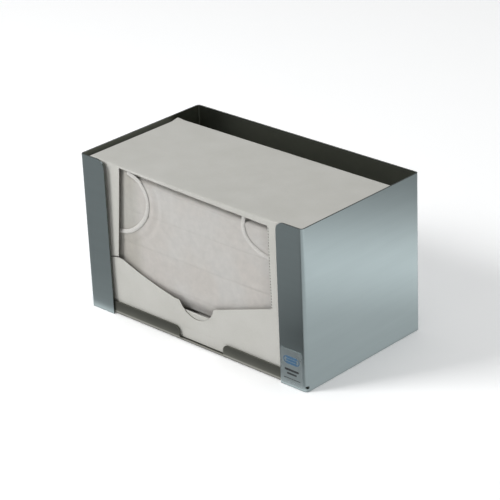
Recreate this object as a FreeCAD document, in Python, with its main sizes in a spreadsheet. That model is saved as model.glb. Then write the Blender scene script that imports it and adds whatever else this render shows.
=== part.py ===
import FreeCAD, Part
import math
import os
import Sketcher

# Open-topped wall and counter dispenser, folded from stainless sheet, holding a carton of
# pleated face masks.  Millimetres.  Front faces -Y, +X is the right-hand side, +Z is up.
# The origin is the middle of the underside.

SIZES = {
    # folded steel housing: back, two sides, two front lips
    "housing_width": 193.0,
    "housing_depth": 110.0,
    "housing_height": 110.0,
    "sheet_thickness": 1.0,
    "bend_inner_radius": 1.5,
    "lip_width": 21.5,
    "lip_corner_radius": 6.0,
    "relief_radius": 0.9,
    "relief_height": 3.0,
    "wall_hole_radius": 2.75,
    "wall_hole_span": 130.0,
    "wall_hole_rise": 50.0,
    # floor tray, spot-welded inside the housing
    "weld_gap": 0.05,
    "tray_lip_height": 9.5,
    "tray_bend_inner_radius": 0.8,
    "tray_corner_relief": 2.5,
    "finger_cut_width": 39.0,
    "finger_cut_offset": 5.0,
    "finger_cut_floor": 1.9,
    "finger_cut_radius": 4.0,
    # clear film label on the right lip
    "label_width": 18.0,
    "label_height": 24.5,
    "label_thickness": 0.12,
    "label_inset": 0.6,
    "label_foot": 1.5,
    "label_corner_radius": 1.0,
    # folded board carton and the clearances that it has inside the tray's upstand
    "board_thickness": 0.5,
    "fold_outer_radius": 0.9,
    "fold_inner_radius": 0.4,
    "carton_left_gap": 2.55,
    "carton_right_gap": 0.5,
    "carton_front_gap": 0.45,
    "carton_rear_gap": 20.95,
    "carton_foot_gap": 0.2,
    "carton_top_gap": 1.9,
    # torn-out window in the carton's front
    "window_left_margin_top": 28.4,
    "window_left_margin_base": 22.4,
    "window_right_margin": 26.6,
    "window_band_left": 2.0,
    "window_band_right": 5.0,
    "flap_left_height": 39.9,
    "flap_right_height": 46.4,
    "flap_left_shoulder": 27.3,
    "flap_right_shoulder": 29.2,
    "thumb_notch_radius": 16.0,
    "thumb_notch_foot": 17.6,
    "tear_slit_length": 10.0,
    "tear_slit_height": 0.8,
    "tear_slit_drop": 1.6,
    # inner board lip and end flaps
    "inner_lip_height": 21.0,
    "flap_play": 0.15,
    "dust_flap_length": 38.0,
    "tuck_tab_length": 12.0,
    # the masks
    "mask_count": 40.0,
    "mask_side_play": 4.5,
    "mask_foot_play": 0.1,
    "mask_head_room": 10.1,
    "mask_gap": 0.3,
    "mask_rear_play": 0.3,
    "front_mask_raise": 9.0,
    "ear_loop_play": 0.3,
    "outer_web_thickness": 0.4,
    "filter_web_thickness": 0.5,
    "inner_web_thickness": 0.4,
    "hem_height": 8.0,
    "nose_wire_length": 100.0,
    "nose_wire_width": 3.0,
    "nose_wire_drop": 2.5,
    "ear_loop_width": 3.0,
    "ear_loop_thickness": 1.2,
}

# Ear loops, welded to the mask's top hem and to its lower hem: x from the mask's middle and
# height from its top edge, chosen by hand.
LEFT_LOOP = [
    (-59.1, -1.8), (-51.1, -3.5), (-44.1, -8.7), (-40.3, -17.8), (-43.1, -28.8), (-51.6, -38.3),
    (-62.1, -44.5), (-73.1, -46.3), (-81.6, -52.8), (-84.8, -63.8), (-85.2, -75.3), (-82.1, -85.8),
    (-73.6, -92.0), (-63.1, -92.7),
]
RIGHT_LOOP = [
    (43.7, -1.8), (42.0, -9.3), (45.4, -18.0), (53.9, -23.5), (64.4, -27.0), (74.9, -31.3),
    (81.9, -39.8), (84.4, -50.8), (84.2, -62.3), (83.2, -73.3), (78.9, -83.5), (69.9, -90.5),
    (59.4, -92.5),
]
# each arc starts this share of the shorter run away from its corner
ARC_SHARE = 0.45

# Places worked out from the sizes, as spreadsheet expressions.
HALF_WIDTH = "Sizes.housing_width / 2"
HALF_DEPTH = "Sizes.housing_depth / 2"
BEND_OUTER = "(Sizes.bend_inner_radius + Sizes.sheet_thickness)"
TRAY_HALF_WIDTH = f"({HALF_WIDTH} - Sizes.sheet_thickness - Sizes.weld_gap)"
TRAY_HALF_DEPTH = f"({HALF_DEPTH} - Sizes.sheet_thickness - Sizes.weld_gap)"
TRAY_BEND_OUTER = "(Sizes.tray_bend_inner_radius + Sizes.sheet_thickness)"

CARTON_LEFT = f"(-{TRAY_HALF_WIDTH} + Sizes.sheet_thickness + Sizes.carton_left_gap)"
CARTON_RIGHT = f"({TRAY_HALF_WIDTH} - Sizes.sheet_thickness - Sizes.carton_right_gap)"
CARTON_FRONT = f"(-{TRAY_HALF_DEPTH} + Sizes.sheet_thickness + Sizes.carton_front_gap)"
CARTON_BACK = f"({TRAY_HALF_DEPTH} - Sizes.sheet_thickness - Sizes.carton_rear_gap)"
CARTON_FOOT = "(Sizes.sheet_thickness + Sizes.carton_foot_gap)"
CARTON_TOP = "(Sizes.housing_height - Sizes.carton_top_gap)"
CARTON_HEIGHT = f"({CARTON_TOP} - {CARTON_FOOT})"
CARTON_DEPTH = f"({CARTON_BACK} - {CARTON_FRONT})"
CARTON_WIDTH = f"({CARTON_RIGHT} - {CARTON_LEFT})"
CARTON_MIDDLE = f"(({CARTON_LEFT} + {CARTON_RIGHT}) / 2)"

# the two layers of board at each end, closure flap and dust flap
END_LAYERS = "(2 * Sizes.board_thickness)"
MASK_WIDTH = f"({CARTON_WIDTH} - 2 * ({END_LAYERS} + Sizes.mask_side_play))"
TUCK_TAB_TOP = f"({CARTON_FOOT} + 2 * Sizes.board_thickness + Sizes.flap_play)"
MASK_FOOT = f"({TUCK_TAB_TOP} + Sizes.mask_foot_play)"
MASK_HEIGHT = f"({CARTON_TOP} - Sizes.board_thickness - Sizes.mask_head_room - {MASK_FOOT})"
FRONT_MASK_FOOT = f"({MASK_FOOT} + Sizes.front_mask_raise)"
INNER_LIP_BACK = f"({CARTON_FRONT} + 2 * Sizes.board_thickness)"
FRONT_MASK_FACE = f"({INNER_LIP_BACK} + Sizes.ear_loop_play + Sizes.ear_loop_thickness)"
FILTER_FACE = f"({FRONT_MASK_FACE} + Sizes.outer_web_thickness)"
INNER_WEB_FACE = f"({FILTER_FACE} + Sizes.filter_web_thickness)"
STACK_FRONT = f"({INNER_WEB_FACE} + Sizes.inner_web_thickness + Sizes.mask_gap)"
STACK_BACK = f"({CARTON_BACK} - Sizes.board_thickness - Sizes.mask_rear_play)"
MASK_PITCH = f"(({STACK_BACK} + Sizes.mask_gap - {STACK_FRONT}) / (Sizes.mask_count - 1))"

doc = FreeCAD.newDocument("mask_dispenser")
sheet = doc.addObject("Spreadsheet::Sheet", "Sizes")
for row, (alias, size) in enumerate(SIZES.items(), start=1):
    sheet.set(f"A{row}", alias)
    sheet.set(f"B{row}", str(size))
    sheet.setAlias(f"B{row}", alias)
doc.recompute()

parts = []


def value(expression):
    return float(sheet.evalExpression(expression))


# ---- sketches and features ----

def new_body(name):
    body = doc.addObject("PartDesign::Body", name)
    body.Label = name
    parts.append(body)
    return body


def new_sketch(body, name, role, offset=None):
    """Attaches a sketch to one of the body's own origin planes, moved along its normal."""
    plane = next(f for f in body.Origin.OriginFeatures if f.Role == role)
    sketch = body.newObject("Sketcher::SketchObject", name)
    sketch.AttachmentSupport = (plane, "")
    sketch.MapMode = "FlatFace"
    if offset:
        sketch.setExpression("AttachmentOffset.Base.z", offset)
    return sketch


def drive(sketch, kind, line, end, expression):
    """Ties one coordinate of a point to an expression, or to the axis where it is zero."""
    amount = value(expression)
    if abs(amount) < 1e-9:
        axis = -2 if kind == "DistanceX" else -1
        sketch.addConstraint(Sketcher.Constraint("PointOnObject", line, end, axis))
        return
    index = sketch.addConstraint(Sketcher.Constraint(kind, -1, 1, line, end, amount))
    sketch.setExpression(f"Constraints[{index}]", expression)


def join_ends(sketch, lines):
    for line, following in zip(lines, lines[1:] + lines[:1]):
        sketch.addConstraint(Sketcher.Constraint("Coincident", line, 2, following, 1))


def draw_rectangle(sketch, left, right, low, high):
    x0, x1, y0, y1 = (value(e) for e in (left, right, low, high))
    corners = [(x0, y0), (x1, y0), (x1, y1), (x0, y1)]
    lines = []
    for a, b in zip(corners, corners[1:] + corners[:1]):
        segment = Part.LineSegment(FreeCAD.Vector(*a, 0), FreeCAD.Vector(*b, 0))
        lines.append(sketch.addGeometry(segment, False))
    join_ends(sketch, lines)
    for line, kind in zip(lines, ["Horizontal", "Vertical"] * 2):
        sketch.addConstraint(Sketcher.Constraint(kind, line))
    drive(sketch, "DistanceX", lines[0], 1, left)
    drive(sketch, "DistanceY", lines[0], 1, low)
    drive(sketch, "DistanceX", lines[2], 1, right)
    drive(sketch, "DistanceY", lines[2], 1, high)


def draw_circle(sketch, x, y, radius):
    centre = FreeCAD.Vector(value(x), value(y), 0)
    circle = sketch.addGeometry(Part.Circle(centre, FreeCAD.Vector(0, 0, 1), value(radius)), False)
    drive(sketch, "DistanceX", circle, 3, x)
    drive(sketch, "DistanceY", circle, 3, y)
    index = sketch.addConstraint(Sketcher.Constraint("Radius", circle, value(radius)))
    sketch.setExpression(f"Constraints[{index}]", radius)


def pad(body, name, sketch, length, symmetric=False):
    feature = body.newObject("PartDesign::Pad", name)
    feature.Profile = sketch
    feature.setExpression("Length", length)
    if symmetric:
        feature.SideType = "Symmetric"
    doc.recompute()
    return feature


def pocket(body, name, sketch, length=None, reverse=False):
    """Cuts a sketch away, to a length or through all, and makes sure that it cut something."""
    before = body.Shape.Volume
    feature = body.newObject("PartDesign::Pocket", name)
    feature.Profile = sketch
    if length:
        feature.setExpression("Length", length)
        feature.Reversed = reverse
    else:
        feature.Type = "ThroughAll"
        feature.SideType = "Symmetric"
    doc.recompute()
    if body.Shape.Volume > before - 1e-3:
        raise ValueError(f"{name} cut nothing from {body.Label}")
    return feature


def along(edge, axis):
    """Tells whether an edge is straight and runs along the axis with this number."""
    if not isinstance(edge.Curve, (Part.Line, Part.LineSegment)):
        return False
    run = edge.Vertexes[-1].Point - edge.Vertexes[0].Point
    return abs(abs(run[axis]) - run.Length) < 1e-6


def fillet(body, name, radius, chosen):
    """Rounds the body's edges that a test picks by their middle point."""
    base = body.Tip
    names = [f"Edge{i}" for i, edge in enumerate(base.Shape.Edges, start=1) if chosen(edge)]
    if not names:
        raise ValueError(f"{name} found no edge on {body.Label}")
    feature = body.newObject("PartDesign::Fillet", name)
    feature.Base = (base, names)
    feature.setExpression("Radius", radius)
    doc.recompute()
    return feature


def near(a, b):
    return abs(a - b) < 1e-4


def block(name, left, right, front, back, low, high):
    """A plain rectangular piece, given by where its six faces are."""
    box = doc.addObject("Part::Box", name)
    box.Label = name
    box.setExpression("Length", f"{right} - {left}")
    box.setExpression("Width", f"{back} - {front}")
    box.setExpression("Height", f"{high} - {low}")
    box.setExpression("Placement.Base.x", left)
    box.setExpression("Placement.Base.y", front)
    box.setExpression("Placement.Base.z", low)
    return box


# ---- the steel housing ----

def make_housing_wrap():
    """One strip of sheet bent round four vertical bends, open at the front, top and bottom."""
    body = new_body("housing_wrap")
    outline = new_sketch(body, "wrap_outline", "XY_Plane")
    draw_rectangle(outline, f"-{HALF_WIDTH}", HALF_WIDTH, f"-{HALF_DEPTH}", HALF_DEPTH)
    pad(body, "wrap_block", outline, "Sizes.housing_height")
    fillet(body, "outer_bends", BEND_OUTER, lambda e: along(e, 2))

    inner_x = f"({HALF_WIDTH} - Sizes.sheet_thickness)"
    inner_y = f"({HALF_DEPTH} - Sizes.sheet_thickness)"
    hollow = new_sketch(body, "wrap_hollow", "XY_Plane")
    draw_rectangle(hollow, f"-{inner_x}", inner_x, f"-{inner_y}", inner_y)
    pocket(body, "hollow_cut", hollow)
    corner_x, corner_y = value(inner_x), value(inner_y)

    def is_inner_corner(edge):
        middle = edge.CenterOfMass
        return along(edge, 2) and near(abs(middle.x), corner_x) and near(abs(middle.y), corner_y)
    fillet(body, "inner_bends", "Sizes.bend_inner_radius", is_inner_corner)

    mouth_x = f"({HALF_WIDTH} - Sizes.lip_width)"
    mouth = new_sketch(body, "front_mouth", "XZ_Plane")
    draw_rectangle(mouth, f"-{mouth_x}", mouth_x, "-Sizes.sheet_thickness",
                   "Sizes.housing_height + Sizes.sheet_thickness")
    pocket(body, "mouth_cut", mouth, HALF_DEPTH, reverse=True)
    lip_x, top = value(mouth_x), value("Sizes.housing_height")

    def is_lip_corner(edge):
        middle = edge.CenterOfMass
        return along(edge, 1) and near(abs(middle.x), lip_x) and near(middle.z, top)
    fillet(body, "lip_corners", "Sizes.lip_corner_radius", is_lip_corner)

    holes = new_sketch(body, "wall_holes", "XZ_Plane")
    for side in (-1, 1):
        for level in (-1, 1):
            draw_circle(holes, f"{side} * Sizes.wall_hole_span / 2",
                        f"Sizes.housing_height / 2 + {level} * Sizes.wall_hole_rise / 2",
                        "Sizes.wall_hole_radius")
    pocket(body, "wall_hole_cut", holes, HALF_DEPTH)

    # small round reliefs through the foot of both front bends, open to the side
    relief = new_sketch(body, "bend_reliefs", "XZ_Plane", f"{HALF_DEPTH} - {BEND_OUTER}")
    for side in (-1, 1):
        draw_circle(relief, f"{side} * ({HALF_WIDTH} - Sizes.relief_radius / 2)",
                    "Sizes.relief_height", "Sizes.relief_radius")
    pocket(body, "relief_cut", relief, BEND_OUTER, reverse=True)


def make_floor_tray():
    """Shallow pan whose front upstand is cut into two lips by a finger space."""
    body = new_body("floor_tray")
    outline = new_sketch(body, "tray_outline", "XY_Plane")
    draw_rectangle(outline, f"-{TRAY_HALF_WIDTH}", TRAY_HALF_WIDTH,
                   f"-{TRAY_HALF_DEPTH}", TRAY_HALF_DEPTH)
    pad(body, "tray_block", outline, "Sizes.tray_lip_height")
    fillet(body, "tray_outer_bends", TRAY_BEND_OUTER,
           lambda e: not along(e, 2) and near(e.CenterOfMass.z, 0))

    inner_x = f"({TRAY_HALF_WIDTH} - Sizes.sheet_thickness)"
    inner_y = f"({TRAY_HALF_DEPTH} - Sizes.sheet_thickness)"
    hollow = new_sketch(body, "tray_hollow", "XY_Plane", "Sizes.tray_lip_height")
    draw_rectangle(hollow, f"-{inner_x}", inner_x, f"-{inner_y}", inner_y)
    pocket(body, "tray_hollow_cut", hollow, "Sizes.tray_lip_height - Sizes.sheet_thickness")
    floor = value("Sizes.sheet_thickness")
    fillet(body, "tray_inner_bends", "Sizes.tray_bend_inner_radius",
           lambda e: not along(e, 2) and near(e.CenterOfMass.z, floor))

    corners = new_sketch(body, "tray_corner_reliefs", "XY_Plane")

    def corner_spans(half):
        """The stretches at both ends of a side that the square corner reliefs take."""
        inside = f"{half} - Sizes.tray_corner_relief"
        outside = f"{half} + Sizes.sheet_thickness"
        return (f"-({outside})", f"-({inside})"), (inside, outside)
    for x_span in corner_spans(TRAY_HALF_WIDTH):
        for y_span in corner_spans(TRAY_HALF_DEPTH):
            draw_rectangle(corners, *x_span, *y_span)
    pocket(body, "tray_corner_cut", corners)

    left = "(Sizes.finger_cut_offset - Sizes.finger_cut_width / 2)"
    right = "(Sizes.finger_cut_offset + Sizes.finger_cut_width / 2)"
    finger = new_sketch(body, "finger_space", "XZ_Plane")
    draw_rectangle(finger, left, right, "Sizes.finger_cut_floor",
                   "Sizes.tray_lip_height + Sizes.sheet_thickness")
    pocket(body, "finger_cut", finger, HALF_DEPTH, reverse=True)
    sides, top = (value(left), value(right)), value("Sizes.tray_lip_height")

    def is_finger_corner(edge):
        middle = edge.CenterOfMass
        at_side = near(middle.x, sides[0]) or near(middle.x, sides[1])
        return along(edge, 1) and at_side and near(middle.z, top)
    fillet(body, "finger_corners", "Sizes.finger_cut_radius", is_finger_corner)


def make_label():
    body = new_body("label_film")
    left = f"({HALF_WIDTH} - Sizes.lip_width + Sizes.label_inset)"
    outline = new_sketch(body, "label_outline", "XZ_Plane", HALF_DEPTH)
    draw_rectangle(outline, left, f"{left} + Sizes.label_width", "Sizes.label_foot",
                   "Sizes.label_foot + Sizes.label_height")
    pad(body, "label_sheet", outline, "Sizes.label_thickness")
    fillet(body, "label_corners", "Sizes.label_corner_radius", lambda e: along(e, 1))


# ---- the carton ----

def draw_window(sketch):
    """The torn opening: slanted top band, shallow V of the front flap and its thumb notch."""
    right_edge = f"({CARTON_RIGHT} - Sizes.window_right_margin)"
    top_left = (f"({CARTON_LEFT} + Sizes.window_left_margin_top)",
                f"({CARTON_TOP} - Sizes.window_band_left)")
    base_left = (f"({CARTON_LEFT} + Sizes.window_left_margin_base)",
                 f"({CARTON_FOOT} + Sizes.flap_left_height)")
    base_right = (right_edge, f"({CARTON_FOOT} + Sizes.flap_right_height)")
    top_right = (right_edge, f"({CARTON_TOP} - Sizes.window_band_right)")
    centre_z = f"({CARTON_FOOT} + Sizes.thumb_notch_foot + Sizes.thumb_notch_radius)"
    shoulders = (f"({CARTON_FOOT} + Sizes.flap_left_shoulder)",
                 f"({CARTON_FOOT} + Sizes.flap_right_shoulder)")

    radius = value("Sizes.thumb_notch_radius")
    centre = FreeCAD.Vector(value(CARTON_MIDDLE), value(centre_z), 0)
    drops = [centre.y - value(shoulder) for shoulder in shoulders]
    start = math.pi + math.asin(drops[0] / radius)
    stop = 2 * math.pi - math.asin(drops[1] / radius)
    circle = Part.Circle(centre, FreeCAD.Vector(0, 0, 1), radius)
    left_end = centre + FreeCAD.Vector(math.cos(start), math.sin(start), 0) * radius
    right_end = centre + FreeCAD.Vector(math.cos(stop), math.sin(stop), 0) * radius

    def at(corner):
        return FreeCAD.Vector(value(corner[0]), value(corner[1]), 0)
    edges = [
        Part.LineSegment(at(top_left), at(base_left)),
        Part.LineSegment(at(base_left), left_end),
        Part.ArcOfCircle(circle, start, stop),
        Part.LineSegment(right_end, at(base_right)),
        Part.LineSegment(at(base_right), at(top_right)),
        Part.LineSegment(at(top_right), at(top_left)),
    ]
    lines = [sketch.addGeometry(edge, False) for edge in edges]
    join_ends(sketch, lines)
    for line, corner in ((0, top_left), (1, base_left), (4, base_right), (5, top_right)):
        drive(sketch, "DistanceX", lines[line], 1, corner[0])
        drive(sketch, "DistanceY", lines[line], 1, corner[1])
    notch = lines[2]
    drive(sketch, "DistanceX", notch, 3, CARTON_MIDDLE)
    drive(sketch, "DistanceY", notch, 3, centre_z)
    index = sketch.addConstraint(Sketcher.Constraint("Radius", notch, radius))
    sketch.setExpression(f"Constraints[{index}]", "Sizes.thumb_notch_radius")
    drive(sketch, "DistanceY", notch, 1, shoulders[0])
    drive(sketch, "DistanceY", notch, 2, shoulders[1])


def make_carton_sleeve():
    """Top, front, bottom and back panels of one folded board."""
    body = new_body("carton_sleeve")
    outline = new_sketch(body, "sleeve_outline", "YZ_Plane", CARTON_MIDDLE)
    draw_rectangle(outline, CARTON_FRONT, CARTON_BACK, CARTON_FOOT, CARTON_TOP)
    pad(body, "sleeve_block", outline, CARTON_WIDTH, symmetric=True)
    fillet(body, "outer_folds", "Sizes.fold_outer_radius", lambda e: along(e, 0))
    hollow = new_sketch(body, "sleeve_hollow", "YZ_Plane")
    inner = [f"({CARTON_FRONT} + Sizes.board_thickness)", f"({CARTON_BACK} - Sizes.board_thickness)",
             f"({CARTON_FOOT} + Sizes.board_thickness)", f"({CARTON_TOP} - Sizes.board_thickness)"]
    draw_rectangle(hollow, *inner)
    pocket(body, "sleeve_hollow_cut", hollow)
    front, back, low, high = (value(e) for e in inner)

    def is_inner_fold(edge):
        middle = edge.CenterOfMass
        at_y = near(middle.y, front) or near(middle.y, back)
        at_z = near(middle.z, low) or near(middle.z, high)
        return along(edge, 0) and at_y and at_z
    fillet(body, "inner_folds", "Sizes.fold_inner_radius", is_inner_fold)

    window = new_sketch(body, "window", "XZ_Plane")
    draw_window(window)
    pocket(body, "window_cut", window, HALF_DEPTH, reverse=True)
    slit = new_sketch(body, "tear_slit", "XZ_Plane")
    slit_right = f"({CARTON_LEFT} + Sizes.window_left_margin_base + Sizes.board_thickness)"
    slit_top = f"({CARTON_FOOT} + Sizes.flap_left_height - Sizes.tear_slit_drop)"
    draw_rectangle(slit, f"{slit_right} - Sizes.tear_slit_length", slit_right,
                   f"{slit_top} - Sizes.tear_slit_height", slit_top)
    pocket(body, "tear_slit_cut", slit, HALF_DEPTH, reverse=True)


def make_inner_lip():
    """The glued inner layer of the carton's front, seen through the thumb notch."""
    face = f"({CARTON_FRONT} + Sizes.board_thickness)"
    foot = f"({CARTON_FOOT} + Sizes.board_thickness)"
    parts.append(block("carton_inner_lip", f"({CARTON_LEFT} + {END_LAYERS})",
                       f"({CARTON_RIGHT} - {END_LAYERS})", face,
                       f"({face} + Sizes.board_thickness)", f"({foot} + Sizes.fold_inner_radius)",
                       f"({foot} + Sizes.inner_lip_height)"))


def make_end(side, outer_face, inward):
    """One end of the carton: a closure flap with its tuck tab, and two dust flaps behind it."""
    front = f"({CARTON_FRONT} + Sizes.board_thickness + Sizes.flap_play)"
    back = f"({CARTON_BACK} - Sizes.board_thickness - Sizes.flap_play)"
    low = f"({CARTON_FOOT} + Sizes.board_thickness + Sizes.flap_play)"
    high = f"({CARTON_TOP} - Sizes.board_thickness - Sizes.flap_play)"

    def layer(start, stop):
        ends = [f"({outer_face} {inward} {start})", f"({outer_face} {inward} {stop})"]
        return ends if inward == "+" else ends[::-1]
    plate = block(f"{side}_closure_plate", *layer("0", "Sizes.board_thickness"), front, back, low, high)
    tab_front = f"({front} + Sizes.tuck_tab_length)"
    tab_back = f"({back} - Sizes.tuck_tab_length)"
    tab = block(f"{side}_tuck_tab", *layer("0", "Sizes.tuck_tab_length"), tab_front, tab_back,
                low, f"({low} + Sizes.board_thickness)")
    flap = doc.addObject("Part::Fuse", f"{side}_closure_flap")
    flap.Label = f"{side}_closure_flap"
    flap.Base = plate
    flap.Tool = tab
    flap.Refine = True
    parts.append(flap)
    # the dust flaps stand clear of the inner lip and of the tuck tab
    behind = layer("Sizes.board_thickness", END_LAYERS)
    dust_front = f"({front} + Sizes.board_thickness)"
    dust_low = f"({low} + Sizes.board_thickness + Sizes.flap_play)"
    for place, y0, y1 in (("front", dust_front, f"({dust_front} + Sizes.dust_flap_length)"),
                          ("rear", f"({back} - Sizes.dust_flap_length)", back)):
        parts.append(block(f"{side}_{place}_dust_flap", *behind, y0, y1, dust_low, high))


# ---- the masks ----

def mask_block(name, front, back, foot, height, width=MASK_WIDTH):
    left = f"({CARTON_MIDDLE} - {width} / 2)"
    parts.append(block(name, left, f"({left} + {width})", front, back, foot, f"({foot} + {height})"))


def make_front_mask():
    """The mask at the window: three webs, with the nose wire in the hem above the filter."""
    mask_block("front_mask_outer_web", FRONT_MASK_FACE, FILTER_FACE, FRONT_MASK_FOOT, MASK_HEIGHT)
    mask_block("front_mask_filter_web", FILTER_FACE, INNER_WEB_FACE, FRONT_MASK_FOOT,
               f"({MASK_HEIGHT} - Sizes.hem_height)")
    mask_block("front_mask_inner_web", INNER_WEB_FACE,
               f"({INNER_WEB_FACE} + Sizes.inner_web_thickness)", FRONT_MASK_FOOT, MASK_HEIGHT)
    wire_foot = f"({FRONT_MASK_FOOT} + {MASK_HEIGHT} - Sizes.nose_wire_drop - Sizes.nose_wire_width)"
    mask_block("front_mask_nose_wire", FILTER_FACE, INNER_WEB_FACE, wire_foot,
               "Sizes.nose_wire_width", "Sizes.nose_wire_length")


def tangent_path(points):
    """Straight runs joined by tangent arcs as large as the two runs at each corner allow."""
    edges = []
    radii = []
    here = points[0]
    for before, corner, after in zip(points, points[1:], points[2:]):
        inwards = (before - corner).normalize()
        onwards = (after - corner).normalize()
        half_turn = (math.pi - inwards.getAngle(onwards)) / 2
        setback = ARC_SHARE * min((before - corner).Length, (after - corner).Length)
        radius = setback / math.tan(half_turn)
        start = corner + inwards * setback
        stop = corner + onwards * setback
        bisector = (inwards + onwards).normalize()
        centre = corner + bisector * (radius / math.cos(half_turn))
        middle = centre - bisector * radius
        edges.append(Part.LineSegment(here, start).toShape())
        edges.append(Part.Arc(start, middle, stop).toShape())
        radii.append(radius)
        here = stop
    edges.append(Part.LineSegment(here, points[-1]).toShape())
    return Part.Wire(edges), radii


def make_ear_loop(name, route):
    """Flat elastic lying on the mask's face."""
    width = value("Sizes.ear_loop_width")
    thickness = value("Sizes.ear_loop_thickness")
    middle_x = value(CARTON_MIDDLE)
    centre_y = value(FRONT_MASK_FACE) - thickness / 2
    top = value(f"{FRONT_MASK_FOOT} + {MASK_HEIGHT}")
    points = [FreeCAD.Vector(middle_x + x, centre_y, top + z) for x, z in route]
    path, radii = tangent_path(points)
    along_y = FreeCAD.Vector(0, thickness / 2, 0)
    across = (points[1] - points[0]).normalize().cross(FreeCAD.Vector(0, 1, 0)) * (width / 2)
    corners = [points[0] + along_y + across, points[0] - along_y + across,
               points[0] - along_y - across, points[0] + along_y - across]
    section = Part.makePolygon(corners + corners[:1])
    loop = doc.addObject("Part::Feature", name)
    loop.Label = name
    loop.Shape = path.makePipeShell([section], True, False)
    parts.append(loop)
    expected = width * thickness * path.Length
    print(f"{name}: {path.Length:.1f} mm long, smallest radius {min(radii):.1f} mm,"
          f" radii {[round(r, 1) for r in radii]}, volume {loop.Shape.Volume:.1f} of {expected:.1f}")


def make_stack():
    """The masks behind the front one, standing on the carton's floor."""
    for number in range(2, round(value("Sizes.mask_count")) + 1):
        front = f"({STACK_FRONT} + {number - 2} * {MASK_PITCH})"
        mask_block(f"mask_{number:02d}", front, f"({front} + {MASK_PITCH} - Sizes.mask_gap)",
                   MASK_FOOT, MASK_HEIGHT)


make_housing_wrap()
make_floor_tray()
make_label()
make_carton_sleeve()
make_inner_lip()
make_end("left", CARTON_LEFT, "+")
make_end("right", CARTON_RIGHT, "-")
make_front_mask()
make_stack()
make_ear_loop("front_mask_left_loop", LEFT_LOOP)
make_ear_loop("front_mask_right_loop", RIGHT_LOOP)
doc.recompute()

for item in doc.Objects:
    if "Invalid" in item.State or "Error" in item.State:
        raise ValueError(f"{item.Label} failed: {item.State}")
for part in parts:
    if part.Shape.isNull() or not part.Shape.isValid() or not part.Shape.Solids:
        raise ValueError(f"{part.Label} has no valid solid")

os.makedirs("parts", exist_ok=True)
for part in parts:
    part.Shape.exportStep(f"parts/{part.Label}.step")
print(f"{len(parts)} parts written")
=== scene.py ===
import functools
import math

import bmesh
import bpy
from mathutils import Matrix, Vector, noise


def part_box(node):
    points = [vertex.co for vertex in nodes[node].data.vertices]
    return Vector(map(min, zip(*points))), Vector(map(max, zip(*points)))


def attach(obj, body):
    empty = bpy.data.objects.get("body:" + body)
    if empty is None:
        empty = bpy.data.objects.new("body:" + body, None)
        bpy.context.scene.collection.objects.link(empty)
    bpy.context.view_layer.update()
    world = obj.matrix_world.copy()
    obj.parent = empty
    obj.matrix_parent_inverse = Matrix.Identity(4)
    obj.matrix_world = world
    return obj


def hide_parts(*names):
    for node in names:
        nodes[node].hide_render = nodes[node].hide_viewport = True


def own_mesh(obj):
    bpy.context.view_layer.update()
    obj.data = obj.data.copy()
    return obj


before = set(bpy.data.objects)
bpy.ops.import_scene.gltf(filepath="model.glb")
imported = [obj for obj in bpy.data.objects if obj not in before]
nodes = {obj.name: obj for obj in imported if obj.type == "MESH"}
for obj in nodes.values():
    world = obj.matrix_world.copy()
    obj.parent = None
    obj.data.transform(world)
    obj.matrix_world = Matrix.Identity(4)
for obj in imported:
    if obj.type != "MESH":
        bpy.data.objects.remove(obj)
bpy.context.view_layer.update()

# Dispenser of folded stainless sheet with a torn-open carton of pleated masks.
# Shapes are worked out in millimetres and turned to metres when a mesh is made.
scene = bpy.context.scene
millimetre = 0.001


def boxOf(node):
    # a CAD node's box as left, right, front, back, foot, top
    low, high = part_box(node)
    return [side / millimetre for axis in range(3) for side in (low[axis], high[axis])]


def clamp(t):
    return min(1.0, max(0.0, t))


def ease(start, stop, at):
    # 0 at start, 1 at stop, level at both ends
    t = clamp((at - start) / (stop - start))
    return t * t * (3 - 2 * t)


def hill(at, middle, width):
    return math.exp(-((at - middle) / width) ** 2)


def between(points, at):
    # height of the line through these (place, height) points
    for (x0, h0), (x1, h1) in zip(points, points[1:]):
        if at <= x1:
            return h0 + (h1 - h0) * clamp((at - x0) / (x1 - x0))
    return points[-1][1]


def steps(start, stop, count):
    return [start + (stop - start) * i / (count - 1) for i in range(count)]


cameraPlace = {
    "azimuth": 44.12,       # degrees from straight in front towards the right
    "elevation": 25.16,
    "roll": -2.48,
    "distance": 1.3556,     # metres from the point it looks at
    "lookAt": (-0.0001, 0.0, 0.0484),
    "lens": 150.25,         # millimetres
    "sensor": 36,
}


def placeCamera(place):
    around, above, roll = (math.radians(place[k]) for k in ("azimuth", "elevation", "roll"))
    back = Vector((math.sin(around) * math.cos(above), -math.cos(around) * math.cos(above),
                   math.sin(above)))
    right = Vector((math.cos(around), math.sin(around), 0))
    up = back.cross(right)
    axes = (right * math.cos(roll) + up * math.sin(roll),
            up * math.cos(roll) - right * math.sin(roll), back)
    stand = Matrix(axes).transposed().to_4x4()
    stand.translation = Vector(place["lookAt"]) + back * place["distance"]
    camera = bpy.data.objects.new("camera", bpy.data.cameras.new("camera"))
    camera.data.lens = place["lens"]
    camera.data.sensor_width = place["sensor"]
    camera.matrix_world = stand
    scene.collection.objects.link(camera)
    scene.camera = camera


placeCamera(cameraPlace)


def newPiece(name, points, faces, body, replaced=()):
    # a smooth mesh from points in millimetres, riding on a body
    mesh = bpy.data.meshes.new(name)
    mesh.from_pydata([[c * millimetre for c in p] for p in points], [], faces)
    mesh.validate()
    mesh.update()
    piece = bpy.data.objects.new(name, mesh)
    scene.collection.objects.link(piece)
    smoothShade(piece)
    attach(piece, body)
    if replaced:
        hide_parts(*replaced)
    return piece


def smoothShade(piece, sharpAngle=40):
    piece.data.polygons.foreach_set("use_smooth", [True] * len(piece.data.polygons))
    piece.data.set_sharp_from_angle(angle=math.radians(sharpAngle))


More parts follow.
